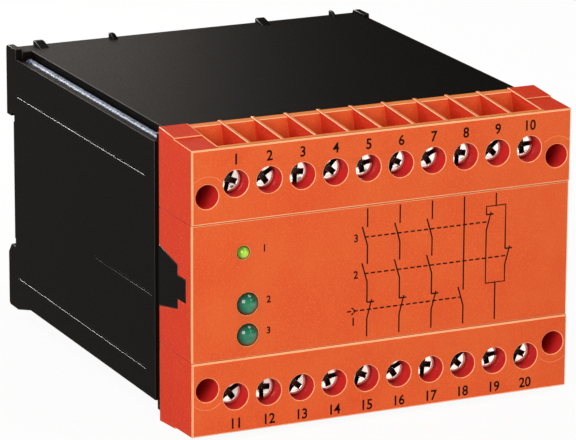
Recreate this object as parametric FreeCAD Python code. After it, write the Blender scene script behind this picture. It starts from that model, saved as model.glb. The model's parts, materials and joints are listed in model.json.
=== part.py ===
"""Safety relay module that clips on a 35 mm rail, with two pull-off terminal blocks.

A black housing (tray and side cover) carries the boards, an orange front panel between the two
orange terminal blocks shows three lamps, each block holds ten box terminals (screw, clamp cage and
contact bar), and a sprung latch at the back holds the rail.

Frame in millimetres: +X right seen from the front, +Y back to the rail, +Z up.
Origin: middle of the rail seat, the face that lies against the rail.
"""
import FreeCAD
import Part
import math
import os

V = FreeCAD.Vector

# Whole module
module_width = 100.0
module_depth = 118.0            # front face of the blocks to the rear posts
gap = 0.3                       # between parts that come apart
fit = 0.1                       # between parts that stay together
slide_gap = 0.2                 # round the rail latch

# Rail seat: 35 mm top-hat rail with 1 mm lips
rail_width = 35.0
rail_play = 0.2                 # above and below the rail
recess_depth = 4.5
seat_half_height = 15.5         # flat seat, between the relief grooves
relief_depth = 0.5
lip_space = 1.5                 # room for the rail's lip in front of the hooks
hook_overlap = 1.1              # fixed hook behind the upper lip
mouth_flare = 2.5               # lower edge of the recess opens out
mouth_start = 2.5               # where the flare starts, behind the seat

# Housing
wall = 2.0
side_wall = 1.8
body_half_height = 34.0         # top and bottom faces
side_half_height = 32.2         # upper and lower edges of the side walls
post_half_height = 34.8         # rear corner posts
foot_half_height = 34.4         # rear feet and front flange
slot_width = 2.7                # open slot between top plate and side cover
post_length = 6.6
foot_length = 6.2
foot_ramp = 8.7
flange_thickness = 2.4
flange_inset = 0.6              # flange sides stand back from the side walls
window_margin = 1.0             # round the pins and leads that pass through the bulkhead
rear_inset = 0.5                # top and bottom plates stop short of the posts
corner_radius = 1.0
groove_width = 0.5
groove_depth = 0.25
groove_heights = (22.7, -6.1, -25.6)
groove_starts = (28.0, 24.0, 28.0)      # from the front face
groove_ends = (111.0, 59.5, 111.5)
nub_insets = ((-1, 8.65), (-1, 28.95), (1, 8.4))    # stop nubs: side, distance from that side
nub_widths = (2.5, 1.3, 0.8)
nub_lengths = (5.5, 3.8, 3.8)
nub_flat = 1.6                  # flat top, before the ramp to the front
nub_height = 1.1

# Snap tongue of each side wall, in the side of the front panel
tongue_root = 7.55
tongue_shoulder = 5.35
tongue_nose = 2.9
shoulder_depth = 8.5            # from the front face
nose_depth = 3.75

# Terminal blocks (upper one drawn; the lower is the same moulding turned over)
block_depth = 19.4
block_front_half = 35.05        # half height over both blocks, at the front
block_rise = 1.45               # the sloping top rises by this to the rear
block_height = 18.25            # one block at its front, down to the seam with the panel
seam_gap = 0.14
edge_radius = 0.5
terminal_count = 10
terminal_pitch = 8.6
screw_inset = 8.95              # screw axis below the block's front top edge
end_block = 7.0                 # solid end beside the outermost funnel
end_step_depth = 10.3
end_step_height = 0.35

# Wire funnel
funnel_wall = 2.0               # front wall of the block above the screws
rib_width = 0.9
funnel_front_depth = 2.05       # floor of the funnel below the block's front top edge
funnel_back_depth = 4.45
shelf_drop = 0.3                # shelf behind the funnel, below the rib tops
shelf_start = 17.2
neck_front = 12.9
neck_back = 15.5
neck_width = 5.2

# Lever holes at the block's ends
lever_hole_radius = 2.95
lever_hole_inset = 3.9          # from the block's end
lever_hole_drop = 2.45          # below the screw axes
lever_hole_depth = 10.0

# Terminal screw, M3.5 with combined slot and cross
thread_radius = 1.75
thread_pitch = 0.6
screw_turns = 4
upper_first_turn = 20           # how far the first screw of a row stands turned, in degrees
lower_first_turn = 55
next_turn = 37                  # each screw further than its neighbour, within a quarter turn
head_radius = 2.9
head_height = 2.1
head_depth = 4.1                # head face below the block's front
drive_depth = 1.3
slot_cut_width = 1.1
cross_cut_width = 1.3
cross_cut_length = 4.2
access_radius = 3.275
head_play = 0.1                 # under the head
web = 1.0                       # wall that the head bears on, with a square hole for the shank
thread_play = 0.05

# Clamp cage
cage_half_width = 3.3
cage_half_height = 3.2
cage_front_wall = 1.4
cage_side_wall = 0.7
cage_rear_wall = 0.9
cage_inner_length = 4.7
cage_closed_gap = 0.2           # cage to web when fully tightened

# Contact bar and plug pin
bar_half_width = 2.3
bar_thickness = 0.9
bar_open_gap = 1.0              # front wall of the open cage to bar
bar_tip_gap = 0.1               # screw tip to bar
bar_top_gap = 0.4               # bar to chamber roof
leaf_thickness = 0.8
pin_inset = 2.8                 # pins above the seam
pin_thickness = 0.8
pin_half_width = 1.2
pin_length = 8.3
rear_skin = 0.7                 # block wall behind the plug sockets

# Front panel
panel_inset = 0.3
panel_wall = 2.0
panel_side = 1.8
panel_flange = 1.5

# Lamps: distance from the left side, distance above the lower seam (negative: below the upper one),
# radius, and how far the dome stands out of the panel
supply_lamp = (13.35, -7.8, 1.5, 1.1)
channel_lamp_1 = (14.5, 13.1, 2.6, 1.6)
channel_lamp_2 = (14.5, 5.45, 2.6, 1.6)
lamp_gap = 0.2                  # round each lamp, in the panel
lamp_body_length = 6.0
lamp_lead_pitch = 1.27
lamp_lead_width = 0.5

# Boards and what they carry
board_thickness = 1.6
terminal_board_margin = 2.0     # to the inner faces of top and bottom
terminal_board_inset = 5.0      # from the module's sides
relay_board_margin = 1.0
foil_thickness = 0.3
foil_overlap = 8.0
foil_inset = 2.0                # foil is shorter than the board at both ends
foil_crown = 1.2                # rounded fold above the board's edge
relay_size = (16.5, 38.0, 13.0)
relay_pitch = 16.0
relay_count = 3
relay_top = 21.5
relay_space = 2.5               # between the relays and the transformer
relay_edge = 0.6
core_size = (24.0, 30.0, 30.0)
core_stack = 14.0
coil_margin = 3.0
core_space = 5.0                # to the rear wall

# Rail latch and its spring
latch_half_width = 8.0
latch_thickness = 2.5
latch_nose_overlap = 1.1        # behind the rail's lower lip
latch_nose_half_width = 6.0
latch_nose_flat = 0.8           # flat top of the nose, before its lead-in slope
latch_nose_slope = 1.2          # drop of that slope
latch_lip = 0.9                 # housing lip behind the latch
latch_lip_overlap = 2.0
eye_half_width = 3.0
eye_height = 1.8
eye_margin = 2.0
spring_strip = 0.4              # thickness of the spring strip
spring_width = 4.0
spring_bends = 6
spring_length = 9.0
spring_pocket = 5.6             # inner width
latch_lug_height = 1.6

# Derived places
front_y = recess_depth - module_depth
rear_y = recess_depth
block_rear_y = front_y + block_depth
flange_y = block_rear_y + gap
inside_front_y = flange_y + flange_thickness
inside_rear_y = -wall
half_width = module_width / 2
cover_inner_x = -half_width + side_wall
recess_half = rail_width / 2 + rail_play
block_rear_half = block_front_half + block_rise
seam_half_height = block_front_half - block_height
screw_height = block_front_half - screw_inset
lever_hole_height = screw_height - lever_hole_drop
pin_height = seam_half_height + pin_inset
funnel_floor_front = block_front_half - funnel_front_depth
funnel_floor_back = block_front_half - funnel_back_depth
block_low = seam_half_height + seam_gap / 2
panel_half = seam_half_height - seam_gap / 2
head_under_y = front_y + head_depth + head_height
web_y = head_under_y + head_play
chamber_y = web_y + web
web_hole_half = thread_radius + gap
cage_travel = screw_turns * thread_pitch
cage_y = chamber_y + cage_closed_gap + cage_travel
cage_length = cage_front_wall + cage_inner_length + cage_rear_wall
bar_y = cage_y + cage_front_wall + bar_open_gap
chamber_half_width = cage_half_width + gap
chamber_half_height = cage_half_height + gap
chamber_rear_y = cage_y + cage_length + gap
socket_rear_y = block_rear_y - rear_skin
pin_tip_y = inside_front_y - pin_length
relay_board_half = body_half_height - wall - relay_board_margin


def box(x, y, z):
    """Box between a low and a high value in x, y and z."""
    return Part.makeBox(x[1] - x[0], y[1] - y[0], z[1] - z[0], V(x[0], y[0], z[0]))


def rod(radius, y, x, z):
    """Round bar along Y."""
    return Part.makeCylinder(radius, y[1] - y[0], V(x, y[0], z), V(0, 1, 0))


def slab(outline, x):
    """Plate with an outline of (y, z) points, between two values of x."""
    points = [V(x[0], y, z) for y, z in outline]
    return Part.Face(Part.makePolygon(points + points[:1])).extrude(V(x[1] - x[0], 0, 0))


def turned(outline, x, z):
    """Body turned about the Y axis through (x, z), from (radius, y) points."""
    points = [V(x + radius, y, z) for radius, y in outline]
    face = Part.Face(Part.makePolygon(points + points[:1]))
    return face.revolve(V(x, 0, z), V(0, 1, 0), 360)


def turned_over(shape):
    """Copy turned half a turn about Y: the upper side becomes the lower side."""
    copy = shape.copy()
    copy.rotate(V(0, 0, 0), V(0, 1, 0), 180)
    return copy


def edges_along(shape, direction, test):
    """Straight edges in one direction whose middle passes the test."""
    found = []
    for edge in shape.Edges:
        if len(edge.Vertexes) != 2:
            continue
        run = edge.Vertexes[1].Point - edge.Vertexes[0].Point
        middle = (edge.Vertexes[1].Point + edge.Vertexes[0].Point) * 0.5
        if run.Length > 0.1 and abs(abs(run.normalize().dot(direction)) - 1) < 0.01 and test(middle):
            found.append(edge)
    return found


def save(name, shape):
    """One STEP file for a node."""
    shape = shape.removeSplitter()
    if len(shape.Solids) == 1:
        shape = shape.Solids[0]
    shape.exportStep("parts/" + name + ".step")
    print(name, len(shape.Solids), "solid(s),", round(shape.Volume, 1), "mm3")


def terminal_places():
    """X of each terminal, left to right."""
    middle = (terminal_count - 1) / 2
    return [(i - middle) * terminal_pitch for i in range(terminal_count)]


# Housing

def recess_outline():
    """Outline (y, z) of the rail recess: flared mouth, seat between two relief grooves, hook."""
    deep = -relief_depth
    return [
        (rear_y, -recess_half - mouth_flare), (mouth_start, -recess_half),
        (deep, -recess_half), (deep, -seat_half_height), (0, -seat_half_height),
        (0, seat_half_height), (deep, seat_half_height), (deep, recess_half),
        (lip_space, recess_half), (lip_space, recess_half - hook_overlap),
        (rear_y, recess_half - hook_overlap),
    ]


def side_outline():
    """Outline (y, z) of a side wall with posts, feet, rail recess and flange."""
    ramp_y = rear_y - foot_length - foot_ramp
    below = [
        (flange_y, -foot_half_height), (inside_front_y, -foot_half_height),
        (inside_front_y, -side_half_height), (ramp_y, -side_half_height),
        (rear_y - foot_length, -foot_half_height), (rear_y, -foot_half_height),
    ]
    above = [
        (rear_y, post_half_height), (rear_y - post_length, post_half_height),
        (rear_y - post_length, side_half_height), (inside_front_y, side_half_height),
        (inside_front_y, foot_half_height), (flange_y, foot_half_height),
    ]
    return below + recess_outline() + above


def tongue_outline(play):
    """Outline (y, z) of the snap tongue, grown by the play round it."""
    shoulder_y = front_y + shoulder_depth - play
    nose_y = front_y + nose_depth - play
    half = [
        (flange_y + play, tongue_root + play), (shoulder_y, tongue_shoulder + play),
        (shoulder_y, tongue_nose + play), (nose_y, tongue_nose + play),
    ]
    return half + [(y, -z) for y, z in reversed(half)]


def side_grooves(x):
    """Three shallow moulding grooves in the outer face of a side wall."""
    cuts = [
        box((x - groove_depth, x + groove_depth), (front_y + start, front_y + end),
            (z - groove_width / 2, z + groove_width / 2))
        for z, start, end in zip(groove_heights, groove_starts, groove_ends)
    ]
    return cuts[0].multiFuse(cuts[1:])


def side_plate(x):
    """Side wall with its snap tongue; x is (outer, inner) in rising order."""
    outer = x[0] if x[0] < 0 else x[1]
    plate = slab(side_outline(), x)
    corners = edges_along(plate, V(1, 0, 0), lambda p: p.y > rear_y - 0.01 and abs(p.z) > side_half_height)
    plate = plate.makeFillet(corner_radius, corners)
    inset = (outer - flange_inset, outer + flange_inset)
    plate = plate.cut(box(inset, (flange_y - 1, inside_front_y), (-half_width, half_width)))
    plate = plate.fuse(slab(tongue_outline(0), x))
    return plate.cut(side_grooves(outer))


def left_side_cover():
    return side_plate((-half_width, cover_inner_x))


def recess_cut(x):
    """Rail recess, run out past the back."""
    past = [(rear_y + 1, recess_half - hook_overlap), (rear_y + 1, -recess_half - mouth_flare)]
    return slab(recess_outline() + past, x)


def latch_channel():
    """T-shaped channel for the latch and the pocket for its spring."""
    wide = latch_half_width + slide_gap
    narrow = latch_half_width - latch_lip_overlap
    low = -body_half_height - 1
    front, back = latch_y()
    channel = box((-wide, wide), (front - slide_gap, back + slide_gap), (low, -recess_half + 1))
    mouth = box((-narrow, narrow), (back, rear_y + 1), (low, -recess_half + 1))
    pocket = box((-spring_pocket / 2, spring_pocket / 2), (-spring_pocket, front), spring_room())
    return channel.fuse([mouth, pocket])


def latch_y():
    """Front and back of the latch plate."""
    back = rear_y - latch_lip - slide_gap
    return back - latch_thickness, back


def spring_room():
    """Bottom and top of the spring pocket: spring, lug and the lug's play above."""
    low = -body_half_height + wall
    return low, low + spring_length + latch_lug_height + slide_gap


def housing_body():
    """Tray: top, bottom, right side, rear wall with rail recess, and front bulkhead."""
    back = rear_y - rear_inset
    right_x = (half_width - side_wall, half_width)
    shell = box((cover_inner_x, half_width), (flange_y, back), (-body_half_height, body_half_height))
    top_right = edges_along(shell, V(0, 1, 0), lambda p: p.x > half_width - 0.01)
    shell = shell.makeFillet(corner_radius, top_right)
    inside_half = body_half_height - wall
    inside_y = (inside_front_y, inside_rear_y)
    shell = shell.cut(box((-half_width, right_x[0]), inside_y, (-inside_half, inside_half)))
    shell = shell.fuse(bulkhead_flange())
    shell = shell.cut(side_slots())
    shell = shell.cut(rear_pockets())
    boss_half = spring_pocket / 2 + wall
    boss_low, boss_high = spring_room()
    boss = box((-boss_half, boss_half), (-spring_pocket - wall, 0), (boss_low - wall, boss_high + wall))
    shell = shell.fuse([boss, box(*latch_block())] + rear_nubs())
    shell = shell.cut(recess_cut((-half_width - 1, half_width + 1)))
    shell = shell.fuse(side_plate(right_x))
    shell = shell.cut(latch_channel())
    return shell.cut(bulkhead_windows())


def bulkhead_flange():
    """Front flange that stands out above and below the housing."""
    edge = half_width - flange_inset
    return box((cover_inner_x, edge), (flange_y, inside_front_y), (-foot_half_height, foot_half_height))


def side_slots():
    """Openings that leave a slot between the plates and the side cover, above and below."""
    x = (cover_inner_x - 1, cover_inner_x + slot_width)
    y = (inside_front_y, rear_y - post_length)
    low = body_half_height - wall - 1
    high = body_half_height + 1
    return box(x, y, (low, high)).fuse(box(x, y, (-high, -low)))


def rear_pockets():
    """Hollows that keep the thick rear wall above and below the rail to one wall."""
    x_out = half_width - side_wall - wall
    y = (inside_rear_y - 1, rear_y - rear_inset - wall)
    high = body_half_height - wall
    upper = box((-x_out, x_out), y, (recess_half + wall, high))
    low = (-high, -recess_half - mouth_flare - wall)
    clear = latch_half_width + slide_gap + wall
    return upper.fuse([box((-x_out, -clear), y, low), box((clear, x_out), y, low)])


def latch_block():
    """Solid block round the latch channel, as ranges of x, y and z."""
    side = latch_half_width + slide_gap + wall
    return (-side, side), (inside_rear_y, rear_y), (-body_half_height, -recess_half - mouth_flare / 2)


def rear_nubs():
    """Stop nubs along the rear edge of the top face, ramped towards the front."""
    root = body_half_height - wall
    top = body_half_height + nub_height
    nubs = []
    for (side, inset), width, length in zip(nub_insets, nub_widths, nub_lengths):
        x = side * (half_width - inset)
        outline = [
            (rear_y, root), (rear_y, top), (rear_y - nub_flat, top),
            (rear_y - length, body_half_height), (rear_y - length, root),
        ]
        nubs.append(slab(outline, (x - width / 2, x + width / 2)))
    return nubs


def lamp_centre(place):
    """X and Z of a lamp from its distances to the left side and to a seam."""
    from_left, from_seam = place[:2]
    seam = -seam_half_height if from_seam > 0 else seam_half_height
    return from_left - half_width, seam + from_seam


def bulkhead_windows():
    """Windows for both rows of plug pins and for the lamp leads."""
    y = (flange_y - 1, inside_front_y + 1)
    span = terminal_pitch * (terminal_count - 1) / 2 + pin_half_width + gap
    half = pin_thickness / 2 + window_margin
    row = box((-span, span), y, (pin_height - half, pin_height + half))
    lamps = [lamp_centre(place) for place in (supply_lamp, channel_lamp_1, channel_lamp_2)]
    margin = lamp_lead_pitch + lamp_lead_width + window_margin
    x = (min(c[0] for c in lamps) - margin, max(c[0] for c in lamps) + margin)
    z = (min(c[1] for c in lamps) - margin, max(c[1] for c in lamps) + margin)
    return row.fuse([turned_over(row), box(x, y, z)])


# Front panel and lamps

def front_panel():
    """Orange cover between the two blocks, open at the back."""
    front = front_y + panel_inset
    panel = box((-half_width, half_width), (front, block_rear_y), (-panel_half, panel_half))
    panel = panel.makeFillet(edge_radius, edges_along(panel, V(0, 0, 1), lambda p: p.y < front + 0.01))
    inner_x = half_width - panel_side
    inner_z = panel_half - panel_flange
    panel = panel.cut(box((-inner_x, inner_x), (front + panel_wall, block_rear_y + 1), (-inner_z, inner_z)))
    notch = slab(tongue_outline(fit), (-half_width - 1, half_width + 1))
    panel = panel.cut(notch)
    for place in (supply_lamp, channel_lamp_1, channel_lamp_2):
        x, z = lamp_centre(place)
        panel = panel.cut(rod(place[2] + lamp_gap, (front - 1, front + panel_wall + 1), x, z))
    return panel


def lamp(place):
    """Domed lamp with its two leads back to the terminal board."""
    x, z = lamp_centre(place)
    radius, rise = place[2:]
    face = front_y + panel_inset
    tip = V(x, face - rise, z)
    shoulder = V(x + radius, face, z)
    crown_radius = (radius * radius + rise * rise) / (2 * rise)
    half_angle = math.asin(radius / crown_radius) / 2
    middle_y = face - rise + crown_radius * (1 - math.cos(half_angle))
    middle = V(x + crown_radius * math.sin(half_angle), middle_y, z)
    back = face + lamp_body_length
    edges = [
        Part.Arc(tip, middle, shoulder).toShape(),
        Part.makeLine(shoulder, V(x + radius, back, z)),
        Part.makeLine(V(x + radius, back, z), V(x, back, z)),
        Part.makeLine(V(x, back, z), tip),
    ]
    body = Part.Face(Part.Wire(edges)).revolve(V(x, 0, z), V(0, 1, 0), 360)
    half = lamp_lead_width / 2
    leads = [
        box((x + side - half, x + side + half), (back - 1, inside_front_y), (z - half, z + half))
        for side in (-lamp_lead_pitch / 2, lamp_lead_pitch / 2)
    ]
    return body.fuse(leads)


# Terminal blocks

def block_top(y):
    """Height of the block's sloping top at a place behind the front face."""
    return block_front_half + (block_rear_half - block_front_half) * (y - front_y) / block_depth


def terminal_block():
    """Upper block: housing moulding with funnels, screw holes, chambers and plug sockets."""
    outline = [
        (front_y, block_low), (block_rear_y, block_low),
        (block_rear_y, block_rear_half), (front_y, block_front_half),
    ]
    block = slab(outline, (-half_width, half_width))
    front_edges = [e for e in block.Edges if all(abs(v.Y - front_y) < 0.01 for v in e.Vertexes)]
    block = block.makeFillet(edge_radius, front_edges)
    cuts = []
    for x in terminal_places():
        cuts += terminal_cuts(x)
    for side in (-1, 1):
        cuts += end_cuts(side)
    return block.cut(cuts)


def terminal_cuts(x):
    """Everything cut away for one terminal."""
    funnel_half = (terminal_pitch - rib_width) / 2
    return [
        funnel(x, funnel_half),
        rod(access_radius, (front_y - 1, web_y), x, screw_height),
        box((x - web_hole_half, x + web_hole_half), (web_y - 1, chamber_y + 1),
            (screw_height - web_hole_half, screw_height + web_hole_half)),
        box((x - chamber_half_width, x + chamber_half_width), (chamber_y, chamber_rear_y),
            (screw_height - chamber_half_height, screw_height + chamber_half_height)),
        neck(x),
        box((x - bar_half_width - fit, x + bar_half_width + fit), (bar_y - fit, socket_rear_y),
            (socket_low() - fit, screw_height)),
        box((x - pin_half_width - gap, x + pin_half_width + gap), (socket_rear_y - 1, block_rear_y + 1),
            (pin_height - pin_thickness / 2 - gap, pin_height + pin_thickness / 2 + gap)),
    ]


def funnel(x, half):
    """Lead-in pocket above the clamp, open upwards."""
    top = max(block_front_half, block_rear_half) + 1
    outline = [
        (front_y + funnel_wall, top), (front_y + funnel_wall, funnel_floor_front),
        (front_y + neck_front, funnel_floor_back), (front_y + neck_back, funnel_floor_back),
        (front_y + shelf_start, block_top(front_y + shelf_start) - shelf_drop),
        (block_rear_y + 1, block_top(block_rear_y + 1) - shelf_drop), (block_rear_y + 1, top),
    ]
    return slab(outline, (x - half, x + half))


def neck(x):
    """Hole from the funnel down into the clamp chamber."""
    return box((x - neck_width / 2, x + neck_width / 2), (front_y + neck_front, front_y + neck_back),
               (screw_height, funnel_floor_back + 1))


def end_cuts(side):
    """Lever hole and stepped top at one end of the block."""
    x = side * (half_width - lever_hole_inset)
    step_y = front_y + end_step_depth
    wedge = [
        (front_y + edge_radius, block_top(front_y + edge_radius)),
        (step_y, block_top(step_y) - end_step_height),
        (step_y, block_top(step_y) + 1), (front_y + edge_radius, block_top(front_y + edge_radius) + 1),
    ]
    reach = sorted((side * (half_width - end_block), side * (half_width + 1)))
    return [
        rod(lever_hole_radius, (front_y - 1, front_y + lever_hole_depth), x, lever_hole_height),
        slab(wedge, reach),
    ]


def socket_low():
    """Underside of the lower contact leaf."""
    return pin_height - pin_thickness / 2 - fit - leaf_thickness


def contact_bars():
    """Contact bar of every terminal: bar through the cage, fork for the plug pin below it."""
    top = screw_height + chamber_half_height - bar_top_gap
    leaf_tip = socket_rear_y - fit
    under_pin = pin_height - pin_thickness / 2 - fit
    over_pin = pin_height + pin_thickness / 2 + fit
    outline = [
        (bar_y, top), (bar_y, socket_low()), (leaf_tip, socket_low()), (leaf_tip, under_pin),
        (bar_y + bar_thickness, under_pin), (bar_y + bar_thickness, over_pin),
        (leaf_tip, over_pin), (leaf_tip, over_pin + leaf_thickness),
        (bar_y + bar_thickness, over_pin + leaf_thickness), (bar_y + bar_thickness, top),
    ]
    return [slab(outline, (x - bar_half_width, x + bar_half_width)) for x in terminal_places()]


def terminal_screw(x, turn):
    """Screw with combined slot and cross, turned by an angle in degrees."""
    face = front_y + head_depth
    tip = bar_y - bar_tip_gap
    outline = [
        (0, face), (head_radius, face), (head_radius, head_under_y),
        (thread_radius, head_under_y), (thread_radius, tip), (0, tip),
    ]
    screw = turned(outline, x, screw_height)
    reach = head_radius + 1
    arm = cross_cut_length / 2
    drive_y = (face - 1, face + drive_depth)
    slot = box((x - reach, x + reach), drive_y,
               (screw_height - slot_cut_width / 2, screw_height + slot_cut_width / 2))
    cross = box((x - cross_cut_width / 2, x + cross_cut_width / 2), drive_y,
                (screw_height - arm, screw_height + arm))
    drive = slot.fuse(cross)
    drive.rotate(V(x, 0, screw_height), V(0, 1, 0), turn)
    return screw.cut(drive)


def clamp_cage(x):
    """Square sleeve round the contact bar; its front wall is threaded for the screw."""
    outer = box((x - cage_half_width, x + cage_half_width), (cage_y, cage_y + cage_length),
                (screw_height - cage_half_height, screw_height + cage_half_height))
    inner_y = (cage_y + cage_front_wall, cage_y + cage_front_wall + cage_inner_length)
    inner_half = cage_half_width - cage_side_wall
    reach = cage_half_height + 1
    inside = box((x - inner_half, x + inner_half), inner_y, (screw_height - reach, screw_height + reach))
    thread = rod(thread_radius + thread_play, (cage_y - 1, inner_y[0] + 1), x, screw_height)
    return outer.cut([inside, thread])


def plug_pins():
    """Flat pins of both rows, standing out of the terminal board."""
    z = (pin_height - pin_thickness / 2, pin_height + pin_thickness / 2)
    row = [
        box((x - pin_half_width, x + pin_half_width), (pin_tip_y, inside_front_y), z)
        for x in terminal_places()
    ]
    return row + [turned_over(pin) for pin in row]


# Boards

def terminal_board():
    """Board behind the bulkhead that carries the plug pins and lamps."""
    width = half_width - terminal_board_inset
    height = body_half_height - wall - terminal_board_margin
    return box((-width, width), (inside_front_y, inside_front_y + board_thickness), (-height, height))


def relay_board_x():
    """Faces of the relay board, centred under the side slot."""
    middle = cover_inner_x + slot_width / 2
    return middle - board_thickness / 2, middle + board_thickness / 2


def relay_board():
    """Upright board beside the side cover."""
    y = (inside_front_y + board_thickness, inside_rear_y)
    return box(relay_board_x(), y, (-relay_board_half, relay_board_half))


def board_foil():
    """Clear insulating foil folded over the upper edge of the relay board."""
    low_x, high_x = relay_board_x()
    y = (inside_front_y + board_thickness + foil_inset, inside_rear_y - foil_inset)
    low = relay_board_half - foil_overlap
    high = relay_board_half + foil_crown + foil_thickness
    sleeve = box((low_x - foil_thickness, high_x + foil_thickness), y, (low, high))
    crown = edges_along(sleeve, V(0, 1, 0), lambda p: p.z > high - 0.01)
    sleeve = sleeve.makeFillet(board_thickness / 2 + foil_thickness / 2, crown)
    return sleeve.cut(box((low_x, high_x), (y[0] - 1, y[1] + 1), (low - 1, relay_board_half)))


def safety_relays():
    """Relays side by side on the relay board."""
    size_x, size_y, size_z = relay_size
    board_x = relay_board_x()[1]
    back = core_y()[0] - relay_space
    y = (back - size_y, back)
    relays = []
    for i in range(relay_count):
        high = relay_top - i * relay_pitch
        can = box((board_x, board_x + size_x), y, (high - size_z, high))
        rim = [e for e in can.Edges if all(v.X > board_x + size_x - 0.01 for v in e.Vertexes)]
        relays.append(can.makeChamfer(relay_edge, rim))
    return relays


def core_y():
    """Front and back of the transformer's core."""
    back = inside_rear_y - core_space
    return back - core_size[1], back


def supply_transformer():
    """Transformer: laminated core with the wound bobbin through it."""
    size_x, size_y, size_z = core_size
    board_x = relay_board_x()[1]
    y = core_y()
    middle_x = board_x + size_x / 2 + coil_margin / 2
    core = box((middle_x - core_stack / 2, middle_x + core_stack / 2), y, (-size_z / 2, size_z / 2))
    coil = box((board_x, board_x + size_x), (y[0] + size_y / 4, y[1] - size_y / 4),
               (-size_z / 2 + coil_margin, size_z / 2 - coil_margin))
    coil = coil.makeFillet(corner_radius, edges_along(coil, V(0, 1, 0), lambda p: True))
    return core.fuse(coil)


# Rail latch

def rail_latch():
    """Sliding latch: plate in the channel, nose behind the rail's lip, eye for a screwdriver."""
    y = latch_y()
    plate_top = -recess_half - mouth_flare - slide_gap
    low = -foot_half_height
    plate = box((-latch_half_width, latch_half_width), y, (low, plate_top))
    nose_top = -rail_width / 2 + latch_nose_overlap
    nose_outline = [
        (lip_space, plate_top - 1), (y[1], plate_top - 1), (y[1], nose_top - latch_nose_slope),
        (lip_space + latch_nose_flat, nose_top), (lip_space, nose_top),
    ]
    nose = slab(nose_outline, (-latch_nose_half_width, latch_nose_half_width))
    spring_low, _ = spring_room()
    lug_low = spring_low + spring_length
    lug_half = spring_pocket / 2 - slide_gap
    lug = box((-lug_half, lug_half), (-spring_pocket + slide_gap, y[0] + 1),
              (lug_low, lug_low + latch_lug_height))
    eye_low = low + eye_margin
    eye = box((-eye_half_width, eye_half_width), (y[0] - 1, y[1] + 1), (eye_low, eye_low + eye_height))
    return plate.fuse([nose, lug]).cut(eye)


def latch_spring():
    """Zigzag strip spring between the pocket's floor and the latch's lug."""
    low, _ = spring_room()
    room = (-spring_pocket + slide_gap, latch_y()[0] - slide_gap)
    step = (spring_length - spring_strip) / spring_bends
    corners = [(room[i % 2], low + i * step) for i in range(spring_bends + 1)]
    legs = []
    for (y1, z1), (y2, z2) in zip(corners, corners[1:]):
        leg = [(y1, z1), (y2, z2), (y2, z2 + spring_strip), (y1, z1 + spring_strip)]
        legs.append(slab(leg, (-spring_width / 2, spring_width / 2)))
    return legs[0].fuse(legs[1:])


def main():
    os.makedirs("parts", exist_ok=True)
    save("housing_body", housing_body())
    save("left_side_cover", left_side_cover())
    save("front_panel", front_panel())
    save("supply_lamp", lamp(supply_lamp))
    save("channel_lamp_1", lamp(channel_lamp_1))
    save("channel_lamp_2", lamp(channel_lamp_2))
    block = terminal_block()
    save("upper_terminal_block", block)
    save("lower_terminal_block", turned_over(block))
    bars = contact_bars()
    save("upper_contact_bars", Part.makeCompound(bars))
    save("lower_contact_bars", Part.makeCompound([turned_over(bar) for bar in bars]))
    for i, x in enumerate(terminal_places()):
        number = "%02d" % (i + 1)
        turn = next_turn * i % 90
        save("upper_screw_" + number, terminal_screw(x, upper_first_turn + turn))
        save("lower_screw_" + number, turned_over(terminal_screw(-x, lower_first_turn + turn)))
        save("upper_clamp_" + number, clamp_cage(x))
        save("lower_clamp_" + number, turned_over(clamp_cage(-x)))
    save("plug_pins", Part.makeCompound(plug_pins()))
    save("terminal_board", terminal_board())
    save("relay_board", relay_board())
    save("board_foil", board_foil())
    save("safety_relays", Part.makeCompound(safety_relays()))
    save("supply_transformer", supply_transformer())
    save("rail_latch", rail_latch())
    save("latch_spring", latch_spring())


main()
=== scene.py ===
# %% [markdown]
# # Safety relay module
#
# This lesson dresses a finished construction of a safety relay: a black housing that clips on a rail,
# and an orange front made of a panel between two pull-off terminal blocks. The construction already
# has the right sizes. Blender adds what the eye judges: soft moulded edges, plastics with a fine
# grain, bright screws, coloured lamps, a creased foil and the printing on the front.

# %% Load the construction
import json
import math

import bmesh
import bpy
from mathutils import Matrix, Vector


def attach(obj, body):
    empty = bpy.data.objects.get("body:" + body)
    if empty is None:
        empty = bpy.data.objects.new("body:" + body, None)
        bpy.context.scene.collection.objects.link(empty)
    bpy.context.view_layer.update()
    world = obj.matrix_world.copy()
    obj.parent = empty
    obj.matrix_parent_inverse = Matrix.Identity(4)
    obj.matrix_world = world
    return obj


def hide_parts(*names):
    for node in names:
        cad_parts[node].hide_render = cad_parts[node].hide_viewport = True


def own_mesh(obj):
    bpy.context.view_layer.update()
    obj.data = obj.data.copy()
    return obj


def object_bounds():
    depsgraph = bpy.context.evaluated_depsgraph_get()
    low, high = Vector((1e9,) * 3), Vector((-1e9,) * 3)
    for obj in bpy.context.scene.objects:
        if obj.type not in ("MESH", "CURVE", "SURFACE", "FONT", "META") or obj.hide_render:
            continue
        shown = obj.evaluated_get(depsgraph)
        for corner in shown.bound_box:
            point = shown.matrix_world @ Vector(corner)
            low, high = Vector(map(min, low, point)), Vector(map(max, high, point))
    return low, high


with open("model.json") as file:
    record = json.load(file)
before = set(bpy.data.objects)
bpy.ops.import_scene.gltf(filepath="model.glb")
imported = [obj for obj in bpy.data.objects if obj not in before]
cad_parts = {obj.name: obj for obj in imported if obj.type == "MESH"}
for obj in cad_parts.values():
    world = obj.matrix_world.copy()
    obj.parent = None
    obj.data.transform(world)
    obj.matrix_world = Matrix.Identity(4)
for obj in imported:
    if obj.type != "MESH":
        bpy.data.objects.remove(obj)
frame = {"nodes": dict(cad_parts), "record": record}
cad_low, cad_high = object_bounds()
scene = bpy.context.scene
scene.view_settings.view_transform = "Standard"
MM = 0.001
print("construction box in mm:", [round(v / MM, 1) for v in cad_low], [round(v / MM, 1) for v in cad_high])

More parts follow.
